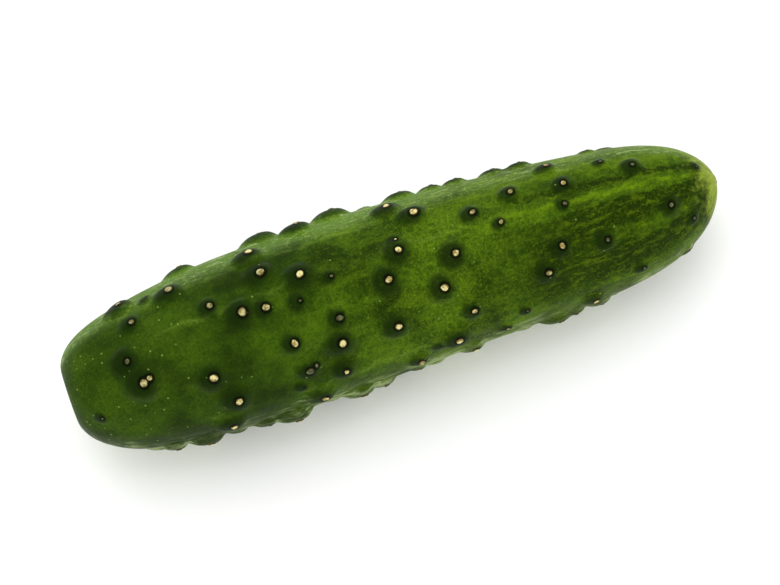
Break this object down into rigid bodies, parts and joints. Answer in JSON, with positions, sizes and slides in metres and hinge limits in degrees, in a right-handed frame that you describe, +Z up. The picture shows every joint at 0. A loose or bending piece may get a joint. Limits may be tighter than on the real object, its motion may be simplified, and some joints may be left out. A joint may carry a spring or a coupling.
{
  "type": "cucumber",
  "caption": "Short fresh ridge cucumber with a warty dark green skin, corky spine scars and paler streaks towards the blossom end, lying on its side.",
  "frame": {"origin": "on the surface the fruit rests on, under the middle of its box", "axes": "+X along the fruit from the stem end to the blossom end, +Z up, +Y across it"},
  "size_m": [0.1296, 0.0358, 0.0353],
  "materials": {
    "skin": "waxy fresh skin, deep green with yellow-green mottling and pale streaks, half glossy",
    "spine_scar": "dry cream-coloured cork in small caps on the warts, with a thin brown rim",
    "end_scar": "dry fibrous cork where the stem and the flower came away"
  },
  "bodies": {
    "root": {"cucumber": "skin"}
  },
  "joints": []
}
